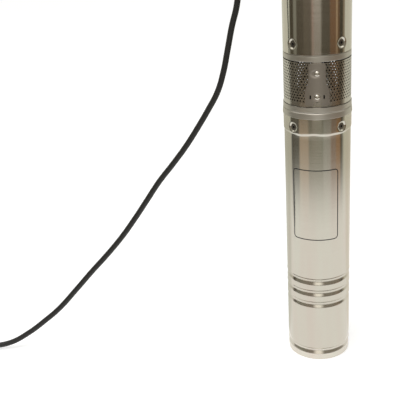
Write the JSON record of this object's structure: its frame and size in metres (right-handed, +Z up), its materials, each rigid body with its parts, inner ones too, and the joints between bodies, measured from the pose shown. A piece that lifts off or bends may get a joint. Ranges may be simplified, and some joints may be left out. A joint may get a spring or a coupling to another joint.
{
  "type": "borehole submersible pump",
  "caption": "Slim upright well pump: polished canned motor, perforated intake, helical rotor pump end, threaded outlet with check valve, and a cable from the head.",
  "frame": {"origin": "centre of the pump's base, where it stands", "axes": "+Z up along the pump's axis to the outlet, -Y towards the strainer clasp"},
  "size_m": [0.5854, 0.1139, 0.6405],
  "materials": {
    "stainless_tube": "polished stainless sheet",
    "stainless_cast": "machined stainless",
    "steel": "ground steel",
    "bearing_steel": "polished bearing steel",
    "bearing_iron": "machined iron",
    "laminations": "stacked electrical steel",
    "winding_copper": "varnished copper",
    "magnet": "coated magnet",
    "ceramic": "lapped ceramic",
    "carbon": "lapped carbon",
    "seal_rubber": "moulded rubber",
    "stator_rubber": "bonded rubber",
    "valve_plastic": "moulded plastic",
    "gland_plastic": "moulded nylon",
    "cable_sheath": "extruded rubber sheath",
    "tie_strap": "plastic strap"
  },
  "bodies": {
    "housing": {"motor_tube": "stainless_tube", "bottom_cover": "stainless_cast", "diaphragm": "seal_rubber", "diaphragm_ring": "steel", "lower_bearing_housing": "bearing_iron", "bearing_outer_rings": "bearing_steel", "stator_core": "laminations", "stator_windings": "winding_copper", "motor_top_bracket": "stainless_cast", "o_rings": "seal_rubber", "seal_seat": "ceramic", "intake_housing": "stainless_cast", "bracket_screws": "steel", "strainer": "stainless_tube", "strainer_clasp": "stainless_tube", "clasp_screws": "steel", "motor_screws": "steel", "tube_screws": "steel", "head_screws": "steel", "stator_rubber": "stator_rubber", "stator_sleeve": "stainless_tube", "stator_flange": "steel", "pump_tube": "stainless_tube", "discharge_head": "stainless_cast", "valve_seat": "steel", "valve_spring": "steel", "valve_guide": "valve_plastic", "lifting_lugs": "stainless_cast", "lead_bush": "seal_rubber", "inner_lead": "cable_sheath", "cable_gland": "gland_plastic", "gland_nut": "gland_plastic", "strain_relief": "seal_rubber", "cable": "cable_sheath", "cable_coil": "cable_sheath", "coil_tie": "tie_strap", "cable_end": "cable_sheath"},
    "motor_rotor": {"motor_shaft": "steel", "rotor_core": "laminations", "rotor_magnets": "magnet", "bearing_inner_rings": "bearing_steel", "seal_ring": "carbon", "seal_bellows": "seal_rubber", "shaft_coupling": "steel", "coupling_pin": "steel"},
    "ball_cages": {"bearing_balls": "bearing_steel"},
    "flex_drive": {"flex_shaft": "steel"},
    "pump_screw": {"screw_rotor": "bearing_steel"},
    "check_valve": {"valve_poppet": "valve_plastic"}
  },
  "joints": [
    {"name": "motor_spin", "type": "hinge", "parent": "housing", "child": "motor_rotor", "pos_m": [0, 0, 0.2], "axis": [0, 0, 1], "continuous": true},
    {"name": "cage_spin", "type": "hinge", "parent": "housing", "child": "ball_cages", "pos_m": [0, 0, 0.2], "axis": [0, 0, 1], "continuous": true},
    {"name": "flex_orbit", "type": "hinge", "parent": "housing", "child": "flex_drive", "pos_m": [0, 0, 0.352], "axis": [0, 0, 1], "continuous": true},
    {"name": "screw_spin", "type": "hinge", "parent": "flex_drive", "child": "pump_screw", "pos_m": [0.003, 0, 0.4], "axis": [0, 0, 1], "continuous": true},
    {"name": "valve_lift", "type": "slide", "parent": "housing", "child": "check_valve", "axis": [0, 0, 1], "range_m": [0, 0.006], "stiffness_N_per_m": 150, "springref_m": -0.01, "deforming": ["valve_spring"]}
  ],
  "couplings": [
    {"joint": "cage_spin", "follows": "motor_spin", "ratio": 0.388},
    {"joint": "flex_orbit", "follows": "motor_spin", "ratio": -1},
    {"joint": "screw_spin", "follows": "motor_spin", "ratio": 2}
  ]
}
